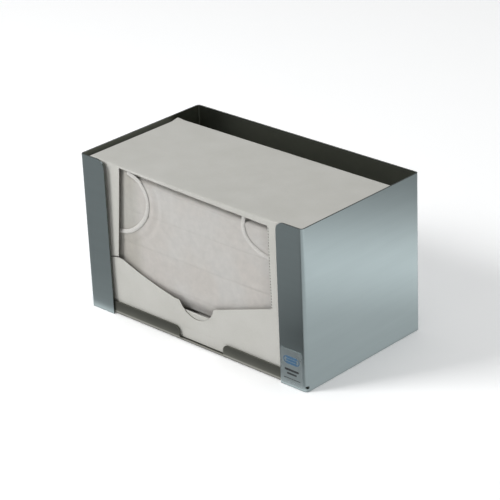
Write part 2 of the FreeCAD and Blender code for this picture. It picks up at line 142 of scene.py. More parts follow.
def applyModifiers(piece, sharpAngle=40):
    bpy.context.view_layer.update()
    made = piece.evaluated_get(bpy.context.evaluated_depsgraph_get())
    mesh = bpy.data.meshes.new_from_object(made)
    piece.modifiers.clear()
    piece.data = mesh
    smoothShade(piece, sharpAngle)


def thicken(piece, thickness, rimSlot=0):
    # gives a sheet its thickness, towards the side that its faces turn away from
    solid = piece.modifiers.new("thickness", "SOLIDIFY")
    solid.thickness = thickness * millimetre
    solid.offset = -1
    solid.use_even_offset = True
    solid.material_offset_rim = rimSlot
    applyModifiers(piece)


def gridFaces(rowCount, columnCount, wrapRows=False):
    # quads between neighbouring points of a grid whose points are stored row after row
    faces = []
    for row in range(rowCount if wrapRows else rowCount - 1):
        following = (row + 1) % rowCount
        for column in range(columnCount - 1):
            faces.append((row * columnCount + column, row * columnCount + column + 1,
                          following * columnCount + column + 1, following * columnCount + column))
    return faces


maskBox = boxOf("front_mask_outer_web")
maskMiddle = (maskBox[0] + maskBox[1]) / 2
maskTop = maskBox[5]
maskFaceY = maskBox[2]

earLoop = {
    "width": 3.0,
    "thickness": 0.95,
    "liftOff": 0.5,         # its middle, in front of the mask's flat face
    "bridgeFrom": 96.5,     # above this height it bridges the groove where the hem leans back
    "bridgeSlack": 0.5,
    "sections": 12,         # points round its oval section
    "ribDepth": 0.06,
    "routes": {
        # x from the mask's middle and height from its top edge, as in the CAD part
        "left": [
            (-59.1, -1.8), (-51.1, -3.5), (-44.1, -8.7), (-40.3, -17.8), (-43.1, -28.8),
            (-51.6, -38.3), (-62.1, -44.5), (-73.1, -46.3), (-81.6, -52.8), (-84.8, -63.8),
            (-85.2, -75.3), (-82.1, -85.8), (-73.6, -92.0), (-63.1, -92.7)],
        "right": [
            (43.7, -1.8), (42.0, -9.3), (45.4, -18.0), (53.9, -23.5), (64.4, -27.0),
            (74.9, -31.3), (81.9, -39.8), (84.4, -50.8), (84.2, -62.3), (83.2, -73.3),
            (78.9, -83.5), (69.9, -90.5), (59.4, -92.5)],
    },
}


def loopLine(side):
    # points in millimetres along the smooth curve whose control points are the route's
    curve = bpy.data.curves.new("route", "CURVE")
    curve.dimensions = "3D"
    curve.resolution_u = 10
    spline = curve.splines.new("NURBS")
    route = earLoop["routes"][side]
    spline.points.add(len(route) - 1)
    for point, (x, z) in zip(spline.points, route):
        point.co = ((maskMiddle + x) * millimetre, (maskFaceY - earLoop["liftOff"]) * millimetre,
                    (maskTop + z) * millimetre, 1)
    spline.order_u = 3
    spline.use_endpoint_u = True
    holder = bpy.data.objects.new("route", curve)
    scene.collection.objects.link(holder)
    bpy.context.view_layer.update()
    line = bpy.data.meshes.new_from_object(holder)
    points = [v.co / millimetre for v in line.vertices]
    bpy.data.objects.remove(holder)
    bpy.data.meshes.remove(line)
    return points


loopLines = {side: loopLine(side) for side in ("left", "right")}


def loopOffset(side, x, z):
    # how far a point of the mask's face is from a loop's line: plus on the loop's right
    line = loopLines[side]
    best, sign = 1e9, 1.0
    for a, b in zip(line, line[1:]):
        run = Vector((b.x - a.x, b.z - a.z))
        to = Vector((x - a.x, z - a.z))
        t = clamp(to.dot(run) / max(run.length_squared, 1e-9))
        gap = (to - run * t).length
        if gap < best:
            best = gap
            sign = 1.0 if run.x * to.y - run.y * to.x > 0 else -1.0
    return best * sign


frontMask = {
    "pleatEdges": (79.0, 55.5, 32.5),   # heights of the three fold edges
    "pleatDepth": 12.0,
    "layerStep": 0.17,
    "columnStep": 1.6,
    "rowStep": 1.6,
    "webThickness": 0.12,
    "filterThickness": 0.2,
    "filterDepth": 0.52,                # behind the face
    "innerDepth": 1.02,
    "weldWidth": 6.0,                   # pressed side edges
    "weldPress": 0.35,                  # share of the layers' depth left at those edges
    # how far the face stands in front of or behind a flat sheet, in millimetres
    "bulge": {"out": 0.75, "across": (12, 62), "up": (64, 34)},     # pushed out from behind
    "sideTucks": [(1.3, -54, -70), (1.2, 56, 69)],      # depth, and where it starts and ends
    "topLean": (0.65, 97.5, 106.5),
    # (below the carton's torn band, behind the face): the top hem leans back into the carton
    "hemLean": [(-1.0, 6.5), (2.2, 6.0), (2.7, 2.2), (3.4, 2.0), (3.9, 3.6), (4.7, 3.2),
                (5.6, 0.7), (7.0, 0.0)],
    "hemStart": (-62, -52),
    "notchSpan": (1, 26),               # middle and half width of what the thumb presses in
    "footCurl": (2.3, 1.4, 33, 22),     # everywhere, more at the notch, from and to a height
    "hemTuck": (3.6, 21.4, 20.6),       # behind the inner lip, at the notch only
    "pleatRidge": (0.3, 56.2, 1.1),     # the middle pleat shows through
    # puckers beside the loops, where the folded elastic has pressed the fabric:
    # height, distance from the loop's line, width
    "puckers": {
        "left": [(-0.45, 5.4, 1.9), (0.4, 8.8, 1.9), (-0.25, 12.4, 2.4)],
        "right": [(-0.3, 4.4, 1.8), (0.35, -3.6, 1.8)],
    },
    # heights between which they grow, and between which they fade again
    "puckerSpan": {"left": (52, 66, 104, 96), "right": (60, 70, 106, 100)},
    # soft unevenness of stacked nonwoven: height, length across, offset, length up
    "unevenness": [(0.22, 26, 3.1, 17), (0.10, 9, 7.7, 12)],
    "pullKeep": 0.74,                   # width left when it is drawn through the window
}


@functools.lru_cache(maxsize=None)
def maskFace(x, z):
    # y of the front mask's outer face, in millimetres
    y = maskFaceY
    bulge = frontMask["bulge"]
    y -= bulge["out"] * hill(x, *bulge["across"]) * hill(z, *bulge["up"])
    for depth, begin, end in frontMask["sideTucks"]:
        y += depth * ease(begin, end, x)
    depth, begin, end = frontMask["topLean"]
    y += depth * ease(begin, end, z)
    y += ease(*frontMask["hemStart"], x) * between(frontMask["hemLean"], bandEdge(x) - z)
    notch = hill(x, *frontMask["notchSpan"])
    depth, more, begin, end = frontMask["footCurl"]
    y += (depth + more * notch) * ease(begin, end, z)
    depth, begin, end = frontMask["hemTuck"]
    y += depth * notch * ease(begin, end, z)
    height, middle, width = frontMask["pleatRidge"]
    y -= height * hill(z, middle, width) * ease(-58, -40, x)
    for side, puckers in frontMask["puckers"].items():
        offset = loopOffset(side, x, z)
        growFrom, growTo, fadeFrom, fadeTo = frontMask["puckerSpan"][side]
        near = ease(growFrom, growTo, z) * ease(fadeFrom, fadeTo, z)
        for height, middle, width in puckers:
            y += height * hill(offset, middle, width) * near
    for height, across, offset, up in frontMask["unevenness"]:
        y += height * noise.noise(Vector((x / across, offset, z / up)))
    return y


def pleatPath(direction):
    # (height, depth) from the top edge down through three Z-folds; depth grows towards the back
    fold = frontMask["pleatDepth"]
    step = frontMask["layerStep"] * direction
    path = [(z, 0.0) for z in steps(maskBox[5], frontMask["pleatEdges"][0] + fold + 2, 32)]
    for index, edge in enumerate(frontMask["pleatEdges"]):
        path += [(z, 0.0) for z in steps(edge + fold, edge + 0.3, 8)]
        path += [(edge, 0.35 * step), (edge + 0.3, step)]
        path += [(z, step) for z in steps(edge + 1.5, edge + fold - 0.4, 7)]
        path += [(edge + fold, 1.5 * step), (edge + fold - 0.4, 2 * step)]
        path += [(z, 2 * step) for z in steps(edge + fold - 2, edge + 1, 6)]
        below = frontMask["pleatEdges"][index + 1] + fold + 1 if index < 2 else maskBox[4]
        path += [(edge - 0.6, 1.6 * step), (edge - 2.2, 0.6 * step), (edge - 4.5, 0.0)]
        path += [(z, 0.0) for z in steps(edge - 6.5, below, 3 if index < 2 else 26)]
    return path


def maskSheet(web, path, depth, thickness):
    # one web of the front mask, as a sheet that follows the mask's face
    left, right = maskBox[0], maskBox[1]
    count = round((right - left) / frontMask["columnStep"]) + 1
    columns = steps(left, right, count)
    points = []
    for z, layer in path:
        for x in columns:
            loose = ease(0, frontMask["weldWidth"], min(x - left, right - x))
            pressed = frontMask["weldPress"] + (1 - frontMask["weldPress"]) * loose
            points.append((x, maskFace(x, z) + (depth + layer) * pressed, z))
    faces = gridFaces(len(path), count)
    piece = newPiece(f"front_mask_{web}_cloth", points, faces, "front_mask",
                     [f"front_mask_{web}_web"])
    thicken(piece, thickness)
    return piece


def flatPath(low, high):
    return [(z, 0.0) for z in steps(high, low, round((high - low) / frontMask["rowStep"]))]


def makeFrontMask():
    filterBox = boxOf("front_mask_filter_web")
    outer = maskSheet("outer", pleatPath(1), 0.0, frontMask["webThickness"])
    middle = maskSheet("filter", flatPath(filterBox[4], filterBox[5]), frontMask["filterDepth"],
                       frontMask["filterThickness"])
    inner = maskSheet("inner", pleatPath(-1), frontMask["innerDepth"], frontMask["webThickness"])
    return outer, middle, inner


noseWire = {
    "columns": 60,
    "sections": 12,             # points round its oval section
    "roundEnd": 1.5,            # length over which each end narrows
    "leastShare": 0.05,         # of its width, at the tips
    "behindFace": 0.33,
    "halfThickness": 0.09,
}


def makeNoseWire():
    # flat plastic-covered wire in the top hem
    left, right, _, _, foot, top = boxOf("front_mask_nose_wire")
    columns = steps(left, right, noseWire["columns"])
    sections, roundEnd = noseWire["sections"], noseWire["roundEnd"]
    points = []
    for turn in steps(0, 2 * math.pi, sections + 1)[:-1]:
        for x in columns:
            narrow = math.sqrt(clamp((x - left) / roundEnd) * clamp((right - x) / roundEnd))
            narrow = max(narrow, noseWire["leastShare"])
            z = (foot + top) / 2 + 0.5 * (top - foot) * math.sin(turn) * narrow
            y = maskFace(x, top) + noseWire["behindFace"]
            y += noseWire["halfThickness"] * math.cos(turn) * narrow
            points.append((x, y, z))
    count = len(columns)
    faces = gridFaces(sections, count, wrapRows=True)
    faces.append([row * count for row in range(sections)])
    faces.append([row * count + count - 1 for row in reversed(range(sections))])
    return newPiece("front_mask_nose_band", points, faces, "front_mask",
                    ["front_mask_nose_wire"])


def makeEarLoop(side):
    # flat knitted elastic, an oval band along the loop's smooth line
    line = loopLines[side]
    settled = []
    for p in line:
        bridged = maskFace(p.x, min(p.z, earLoop["bridgeFrom"])) + earLoop["bridgeSlack"]
        y = min(maskFace(p.x, p.z), bridged) - earLoop["liftOff"]
        settled.append(Vector((p.x, y, p.z)))
    halfWidth, halfThick = earLoop["width"] / 2, earLoop["thickness"] / 2
    points = []
    count = earLoop["sections"]
    for i, p in enumerate(settled):
        run = (settled[min(i + 1, len(settled) - 1)] - settled[max(i - 1, 0)]).normalized()
        across = run.cross(Vector((0, 1, 0))).normalized()
        outward = across.cross(run)
        for k in range(count):
            turn = 2 * math.pi * k / count
            rib = 1 - earLoop["ribDepth"] * (k % 2)
            points.append(p + across * (halfWidth * math.cos(turn) * rib)
                          + outward * (halfThick * math.sin(turn) * rib))
    faces = []
    for i in range(len(settled) - 1):
        for k in range(count):
            after = (k + 1) % count
            faces.append((i * count + k, i * count + after,
                          (i + 1) * count + after, (i + 1) * count + k))
    faces.append(list(reversed(range(count))))
    faces.append([(len(settled) - 1) * count + k for k in range(count)])
    piece = newPiece(f"front_mask_{side}_elastic", points, faces, "front_mask",
                     [f"front_mask_{side}_loop"])
    return piece


stackedMask = {
    "columns": 16,
    "plyThickness": 0.3,
    "layerStep": 0.36,
    "pleatHeights": (0.74, 0.49, 0.25),   # shares of the height
    "pleatDepth": 12.0,
    "weldPress": 0.4,                     # share of the layers' depth left at the side edges
    "dents": (7.4, 5.8, 4.3, 2.9, 1.6, 0.6, 0.0),     # how far the first ones are pressed in
    "dentFrom": (34, 24),                 # heights where a dent starts and is whole
}


def makeStackedMask(node, dentFront):
    # three plies pleated together, drawn as one folded sheet
    left, right, front, _, foot, top = boxOf(node)
    height, fold, step = top - foot, stackedMask["pleatDepth"], stackedMask["layerStep"]
    path = [(top, 0.1)]
    for share in stackedMask["pleatHeights"]:
        edge = foot + share * height
        path += [(edge + fold, 0.1), (edge + 0.2, 0.0), (edge, 0.4 * step), (edge + 0.3, step),
                 (edge + fold - 0.4, step), (edge + fold, 1.5 * step),
                 (edge + fold - 0.4, 2 * step), (edge - 0.5, 1.8 * step), (edge - 5, 0.2)]
    path += [(foot + 1, 0.1), (foot, 0.25)]
    columns = steps(left, right, stackedMask["columns"])
    points = []
    for z, layer in path:
        for x in columns:
            loose = ease(0, frontMask["weldWidth"], min(x - left, right - x))
            pressed = stackedMask["weldPress"] + (1 - stackedMask["weldPress"]) * loose
            dent = dentFront * ease(*stackedMask["dentFrom"], z)
            points.append((x, front + 0.1 + layer * pressed + dent, z))
    piece = newPiece(f"{node}_folded", points, gridFaces(len(path), len(columns)), "carton",
                     [node])
    thicken(piece, stackedMask["plyThickness"])
    return piece


cartonBoard = {
    "thickness": 0.5,
    "foldRadius": 0.9,
    "windowRight": 67.0,
    "windowLeft": [(41.5, -69.6), (107.0, -63.5)],      # (height, x)
    "bandEdge": [(-64.0, 107.1), (-52.0, 106.9), (67.0, 104.0)],
    "flapEdge": [(-92.0, 38.6), (-79.5, 39.4), (-74.0, 41.4), (-69.6, 42.1), (-65.5, 41.8),
                 (-61.0, 40.3), (-49.8, 36.5), (-30.8, 31.4), (-17.3, 28.6), (15.6, 30.4),
                 (18.2, 31.6), (67.0, 47.5), (95.0, 47.5)],
    "bandTop": 107.1,
    # the raggedness of those edges: height, length along the edge, place in the noise
    "flapTear": [(0.12, 1.3, (0, 5))],
    "bandTear": [(0.28, 2.2, (1, 2)), (0.2, 9, (4, 2))],
    "leftTear": [(0.15, 2.5, (9, 1))],
    "notchMiddle": (1.1, 34.7),
    "notchRadius": 16.0,
    "slitStart": -79.5,
    "slitHeight": 0.9,
    # a row of short cuts beside the window's right edge: pitch, start and end from that edge
    "perforation": (2.0, 0.35, 1.0),
    "crushedFoot": (3.3, 0.8),      # up and back, above the tray's finger cut
    "crushedSpan": ((-17, -12), (27, 22), (15, 2.2)),   # where it starts and is whole
    # how far the front stands back from flat, at places across it
    "bow": [(-92, 1.5), (-64, 0.55), (-30, -0.45), (20, -0.95), (70, -1.0), (95, -0.9)],
    "bowHeights": (14, 96),                 # where it starts and is whole
    "flapBulge": (0.35, (36, 12), (0, 55)),     # with its middle and width up, then across
    "leftFootPressed": (1.7, (-66, -84), (44, 4)),      # where it starts and is whole
    "topSag": (0.55, 8),                    # and how far down it fades
    "rearCornerPinch": (1.6, 0.9, 0.6),     # inwards, up, and how strong
    "rearCorner": ((-86, -91.5), (0.9, 0.99), 3),       # across, share of the depth, up
    "wave": (0.12, 40, 30, 12),             # height, lengths, and the level part at the foot
    "frontShare": (0.02, 0.05, 0.1),        # shares of the depth in which the front's shifts fade
    # how finely it is divided
    "leftColumns": 13,
    "windowColumns": (24, 56, 21),      # left of the notch, over it and right of it
    "notchMargin": 3,
    "rightColumns": 11,
    "flapRows": 16,
    "middleRows": 170,
    "bandRows": 4,
    "rowStep": 3.0,
}


def torn(edge, at):
    # how far a torn edge strays from its line
    return sum(height * noise.noise(Vector((at / length, *place)))
               for height, length, place in cartonBoard[edge])


def flapEdge(x):
    z = between(cartonBoard["flapEdge"], x)
    centreX, centreZ = cartonBoard["notchMiddle"]
    reach = cartonBoard["notchRadius"] ** 2 - (x - centreX) ** 2
    if reach > 0:
        z = min(z, centreZ - math.sqrt(reach))
    return z + torn("flapTear", x)


def bandEdge(x):
    return min(between(cartonBoard["bandEdge"], x) + torn("bandTear", x), cartonBoard["bandTop"])


def windowLeft(z):
    return between(cartonBoard["windowLeft"], z) + torn("leftTear", z)


def boardShift(x, y, z, box):
    # how far the folded board stands off its square shape
    left, right, front, back, foot, top = box
    depth = clamp((y - front) / (back - front))
    across = clamp((x - left) / (right - left))
    skin, near, deep = cartonBoard["frontShare"]
    dy = between(cartonBoard["bow"], x) * ease(*cartonBoard["bowHeights"], z) * (1 - depth) ** 2
    bulge, up, wide = cartonBoard["flapBulge"]
    dy -= bulge * hill(z, *up) * hill(x, *wide) * (1 - ease(0, skin, depth))
    pressed, wide, up = cartonBoard["leftFootPressed"]
    dy += pressed * ease(*wide, x) * ease(*up, z) * (1 - ease(0, deep, depth))
    most, fade = cartonBoard["topSag"]
    sag = most * math.sin(math.pi * depth) * math.sin(math.pi * across)
    dz = -sag * ease(top - fade, top, z)
    leftEnd, rightEnd, up = cartonBoard["crushedSpan"]
    cut = ease(*leftEnd, x) * ease(*rightEnd, x) * ease(*up, z) * ease(near, 0, depth)
    crushedUp, crushedBack = cartonBoard["crushedFoot"]
    dz += crushedUp * cut
    dy += crushedBack * cut
    inwards, upwards, strength = cartonBoard["rearCornerPinch"]
    wide, share, fade = cartonBoard["rearCorner"]
    corner = strength * ease(*wide, x) * ease(*share, depth) * ease(top - fade, top, z)
    height, long, short, level = cartonBoard["wave"]
    wave = height * noise.noise(Vector((x / long, y / short, z / long)))
    dy += wave * (z > foot + level) * (depth < near)
    return Vector((-inwards * corner, dy, dz + upwards * corner))


def makeCarton():
    box = boxOf("carton_sleeve")
    left, right, front, back, foot, top = box
    radius = cartonBoard["foldRadius"]
    windowRight = cartonBoard["windowRight"]
    windowFoot = cartonBoard["windowLeft"][0][0]
    reach = cartonBoard["notchRadius"] + cartonBoard["notchMargin"]
    notchLeft = cartonBoard["notchMiddle"][0] - reach
    notchRight = notchLeft + 2 * reach
    span = windowRight - windowLeft(100)
    before, over, after = cartonBoard["windowColumns"]
    places = steps(windowRight - span, notchLeft, before)[:-1]
    places += steps(notchLeft, notchRight, over)
    places += steps(notchRight, windowRight, after)[1:]
    shares = [(x - windowRight) / span + 1 for x in places]
    leftCount, rightCount = cartonBoard["leftColumns"], cartonBoard["rightColumns"]
    pitch, cutStart, cutEnd = cartonBoard["perforation"]
    columns = [("left", t) for t in steps(0, 1, leftCount)[:-1]]
    columns += [("window", t) for t in shares]
    columns += [("right", cut / (right - windowRight)) for cut in (cutStart, cutEnd)]
    columns += [("right", t) for t in steps(0, 1, rightCount)[1:]]

    def columnX(column, z):
        zone, t = column
        edge = windowLeft(max(z, windowFoot))
        if zone == "left":
            return left + (edge - left) * t
        if zone == "right":
            return windowRight + (right - windowRight) * t
        return edge + (windowRight - edge) * t

    def arc(centreY, centreZ, start):
        # the rounded fold, over the quarter turn after start, walked backwards
        turns = [math.pi / 2 * turn for turn in steps(start + 1, start, 5)]
        return [(centreY + radius * math.cos(a), centreZ + radius * math.sin(a)) for a in turns]

    def rowsIn(length):
        return round(length / cartonBoard["rowStep"])

    rows = []          # each row: its kind, which says how it joins the next, and its points

    def addRow(kind, place, height=None):
        row = []
        for column in columns:
            y, z = place
            x = columnX(column, z)
            if height:
                # a row of the front panel, at its own height in each column
                x = columnX(column, height(columnX(column, 70)))
                z = height(x)
                x = columnX(column, z)
            row.append([x, y, z])
        rows.append((kind, row))

    for y in steps(back - radius, front + radius, rowsIn(back - front))[:-1]:
        addRow("panel", (y, foot))
    for y, z in arc(front + radius, foot + radius, 2):
        addRow("panel", (y, z))
    low = foot + radius
    for t in steps(0, 1, cartonBoard["flapRows"])[1:]:
        addRow("panel", (front, low), lambda x, t=t: low + (flapEdge(x) - low) * t)
    rows[-1] = ("slit", rows[-1][1])
    slit = cartonBoard["slitHeight"]

    def slitTop(x):
        opening = ease(cartonBoard["slitStart"], cartonBoard["slitStart"] + 1.5, x)
        return flapEdge(x) + slit * opening * ease(windowRight + 0.4, windowRight - 0.8, x)

    for t in steps(0, 1, cartonBoard["middleRows"]):
        addRow("window", (front, low), lambda x, t=t: slitTop(x) + (bandEdge(x) - slitTop(x)) * t)
    rows[-1] = ("panel", rows[-1][1])
    for t in steps(0, 1, cartonBoard["bandRows"])[1:]:
        addRow("panel", (front, low),
               lambda x, t=t: bandEdge(x) + (top - radius - bandEdge(x)) * t)
    for y, z in arc(front + radius, top - radius, 1):
        addRow("panel", (y, z))
    for y in steps(front + radius, back - radius, rowsIn(back - front))[1:-1]:
        addRow("panel", (y, top))
    for y, z in arc(back - radius, top - radius, 0):
        addRow("panel", (y, z))
    for z in steps(top - radius, foot + radius, rowsIn(top - foot))[1:-1]:
        addRow("panel", (back, z))
    for y, z in arc(back - radius, foot + radius, 3):
        addRow("panel", (y, z))

    points = []
    for _, row in rows:
        for x, y, z in row:
            shift = boardShift(x, y, z, box)
            points.append((x + shift.x, y + shift.y, z + shift.z))
    faces = []
    windowFirst = leftCount - 1
    windowLast = windowFirst + len(shares) - 1
    width = len(columns)
    for index, (kind, row) in enumerate(rows):
        following = (index + 1) % len(rows)
        for column in range(width - 1):
            if kind == "slit" and column < windowLast:
                continue
            if kind == "window" and windowFirst <= column < windowLast:
                continue
            # every other half pitch of the column beside the window is a cut
            isCut = column == windowLast + 1 and row[column][2] / pitch % 1 < 0.5
            if kind == "window" and isCut:
                continue
            faces.append((index * width + column, following * width + column,
                          following * width + column + 1, index * width + column + 1))
    piece = newPiece("carton_board", points, faces, "carton", ["carton_sleeve"])
    joined = bmesh.new()
    joined.from_mesh(piece.data)
    bmesh.ops.remove_doubles(joined, verts=joined.verts, dist=0.02 * millimetre)
    bmesh.ops.delete(joined, geom=[v for v in joined.verts if not v.link_faces], context="VERTS")
    bmesh.ops.recalc_face_normals(joined, faces=joined.faces)
    joined.to_mesh(piece.data)
    joined.free()
    return piece


labelPrint = {
    "ink": 0.05,                    # how far the print's face stands off the film
    "inkBack": 0.005,               # and its back
    "corner": 0.35,
    "barCorner": 0.3,               # share of a bar's height
    "pictogram": (8.6, 18.4),       # a folded mask: its width, and the height of its middle
    "fold": (1.6, 0.35),            # height of each fold of it, and the gap between two
    "loop": (2.3, 0.65),            # reach of its ear loops, and their width
    # plain bars in the place of lettering: middle height, width, height
    "bars": [(11.6, 11.5, 1.5), (9.0, 8.0, 1.3), (5.6, 13.5, 0.5)],
}


def roundedBar(x, z, width, height, radius):
    corners = [(1, 1, 0), (-1, 1, 1), (-1, -1, 2), (1, -1, 3)]
    outline = []
    for sideX, sideZ, quarter in corners:
        for turn in steps(quarter, quarter + 1, 5):
            angle = math.pi / 2 * turn
            outline.append((x + sideX * (width / 2 - radius) + radius * math.cos(angle),
                            z + sideZ * (height / 2 - radius) + radius * math.sin(angle)))
    return outline


def loopMark(x, z, side, reach, width, height):
    # half a ring, open towards the mask
    turns = steps(-math.pi / 2, math.pi / 2, 15)
    outer = [(x + side * reach * math.cos(a), z + height / 2 * math.sin(a)) for a in turns]
    inner = [(x + side * (reach - width) * math.cos(a), z + (height / 2 - width) * math.sin(a))
             for a in reversed(turns)]
    return (outer + inner)[::side]


def printShapes(name, outlines):
    # flat printed shapes on the label film
    front = boxOf("label_film")[2]
    points = []
    faces = []
    for outline in outlines:
        start, count = len(points), len(outline)
        for y in (front - labelPrint["ink"], front - labelPrint["inkBack"]):
            points += [(x, y, z) for x, z in outline]
        faces.append([start + i for i in range(count)])
        for i in range(count):
            after = (i + 1) % count
            faces.append((start + after, start + i, start + count + i, start + count + after))
    return newPiece(name, points, faces, "housing")


def makeLabelPrint():
    left, right = boxOf("label_film")[:2]
    middle = (left + right) / 2
    width, height = labelPrint["pictogram"]
    fold, gap = labelPrint["fold"]
    reach, band = labelPrint["loop"]
    shapes = [roundedBar(middle, height + row * (fold + gap), width, fold, labelPrint["corner"])
              for row in (-1, 0, 1)]
    for side in (-1, 1):
        shapes.append(loopMark(middle + side * width / 2, height, side, reach, band, 3 * fold))
    pictogram = printShapes("label_mask_sign", shapes)
    outlines = [roundedBar(middle, z, wide, high, high * labelPrint["barCorner"])
                for z, wide, high in labelPrint["bars"]]
    return pictogram, printShapes("label_bars", outlines)


def linear(code):
    # an sRGB hex colour as linear light
    channels = [int(code[i:i + 2], 16) / 255 for i in (1, 3, 5)]
    return [c / 12.92 if c <= 0.04045 else ((c + 0.055) / 1.055) ** 2.4 for c in channels] + [1.0]


def feed(tree, node, inputs):
    # sets a node's inputs: sockets are linked, anything else is its value
    for socket, given in inputs.items():
        if isinstance(given, bpy.types.NodeSocket):
            tree.links.new(given, node.inputs[socket])
        else:
            node.inputs[socket].default_value = given


def addNode(tree, kind, settings=None, inputs=None):
    node = tree.nodes.new("ShaderNode" + kind)
    for name, setting in (settings or {}).items():
        setattr(node, name, setting)
    feed(tree, node, inputs or {})
    return node


def newMaterial(name, finish, kind="BsdfPrincipled"):
    material = bpy.data.materials.new(name)
    material.use_nodes = True
    tree = material.node_tree
    tree.nodes.clear()
    shader = addNode(tree, kind, {}, finish)
    addNode(tree, "OutputMaterial", {}, {"Surface": shader.outputs[0]})
    place = addNode(tree, "TexCoord").outputs["Object"]
    return material, tree, shader, place


def perMetre(size):
    # how many of something this many millimetres across fit in a metre
    return 1 / (size * millimetre)


def makeSatinSteel():
    # 1.4301 stainless, ground with a 240 grit belt along the strip: long fine hairlines that
    # stretch reflections up and down, a cool grey, and faint cloudy handling marks
    size = {"hairline": 0.35, "hairlineLength": 45.0, "streak": 6.0, "streakLength": 90.0,
            "smudge": 38.0, "sheet": 1.0, "margin": 0.1}
    material, tree, shader, place = newMaterial("satin_ground_stainless", {
        "Base Color": linear("#bfced0"), "Metallic": 1.0, "Roughness": 0.3, "Anisotropic": 0.55,
    })
    # real hairlines are under 0.1 mm apart: drawn coarser, so that they show at this size
    alongGrain = addNode(tree, "Mapping", {}, {
        "Vector": place,
        "Scale": (perMetre(size["hairlineLength"]), perMetre(size["hairlineLength"]),
                  perMetre(size["hairline"]))})
    hairlines = addNode(tree, "TexNoise", {}, {
        "Vector": alongGrain.outputs[0], "Scale": 1.0, "Detail": 4.0, "Roughness": 0.6})
    streakPlace = addNode(tree, "Mapping", {}, {
        "Vector": place,
        "Scale": (perMetre(size["streakLength"]), perMetre(size["streakLength"]),
                  perMetre(size["streak"]))})
    streaks = addNode(tree, "TexNoise", {}, {
        "Vector": streakPlace.outputs[0], "Scale": 1.0, "Detail": 2.0})
    smudges = addNode(tree, "TexNoise", {}, {
        "Vector": place, "Scale": perMetre(size["smudge"]), "Detail": 3.0, "Distortion": 0.6})
    shade = addNode(tree, "Math", {"operation": "ADD"}, {
        0: hairlines.outputs["Fac"], 1: streaks.outputs["Fac"]})
    shade = addNode(tree, "MapRange", {}, {
        "Value": shade.outputs[0], "From Min": 0.6, "From Max": 1.4})
    tone = addNode(tree, "Mix", {"data_type": "RGBA"}, {
        "Factor": shade.outputs[0], 6: linear("#bccbcd"), 7: linear("#c2d1d3")})
    # the strip's inner side is left as it was rolled; it is drawn darker and warmer, partly for that
    # finish and partly as painted shade inside the housing
    left, right, front, back = boxOf("housing_wrap")[:4]
    spread = addNode(tree, "SeparateXYZ", {}, {0: place})
    limits = []
    for axis, half in (("X", (right - left) / 2), ("Y", (back - front) / 2)):
        away = addNode(tree, "Math", {"operation": "ABSOLUTE"}, {0: spread.outputs[axis]})
        limits.append(addNode(tree, "Math", {"operation": "LESS_THAN"}, {
            0: away.outputs[0], 1: (half - size["sheet"] + size["margin"]) * millimetre,
        }).outputs[0])
    innerSideShade = addNode(tree, "Math", {"operation": "MULTIPLY"}, {0: limits[0], 1: limits[1]})
    tone = addNode(tree, "Mix", {"data_type": "RGBA"}, {
        "Factor": innerSideShade.outputs[0], 6: tone.outputs[2], 7: linear("#989b93")})
    # laser-cut edges, along the top and down the two lips, are rough, and drawn darker grey: partly
    # their own colour, partly painted shade that keeps highlights off these thin edges
    facing = addNode(tree, "SeparateXYZ", {}, {0: addNode(tree, "NewGeometry").outputs["Normal"]})
    flats = []
    for axis in "XZ":
        turned = addNode(tree, "Math", {"operation": "ABSOLUTE"}, {0: facing.outputs[axis]})
        flats.append(addNode(tree, "Math", {"operation": "GREATER_THAN"}, {
            0: turned.outputs[0], 1: 0.8}).outputs[0])
    away = addNode(tree, "Math", {"operation": "ABSOLUTE"}, {0: spread.outputs["X"]})
    onLip = addNode(tree, "Math", {"operation": "LESS_THAN"}, {
        0: away.outputs[0],
        1: ((right - left) / 2 - size["sheet"] - size["margin"]) * millimetre})
    lipEdge = addNode(tree, "Math", {"operation": "MULTIPLY"}, {0: flats[0], 1: onLip.outputs[0]})
    cut = addNode(tree, "Math", {"operation": "MAXIMUM"}, {0: lipEdge.outputs[0], 1: flats[1]})
    tone = addNode(tree, "Mix", {"data_type": "RGBA"}, {
        "Factor": cut.outputs[0], 6: tone.outputs[2], 7: linear("#626866")})
    rough = addNode(tree, "MapRange", {}, {
        "Value": smudges.outputs["Fac"], "From Min": 0.3, "From Max": 0.7,
        "To Min": 0.28, "To Max": 0.33})
    relief = addNode(tree, "Bump", {}, {
        "Height": hairlines.outputs["Fac"], "Strength": 0.02, "Distance": 0.01 * millimetre})
    feed(tree, shader, {"Base Color": tone.outputs[2], "Roughness": rough.outputs[0],
                        "Normal": relief.outputs[0]})
    return material


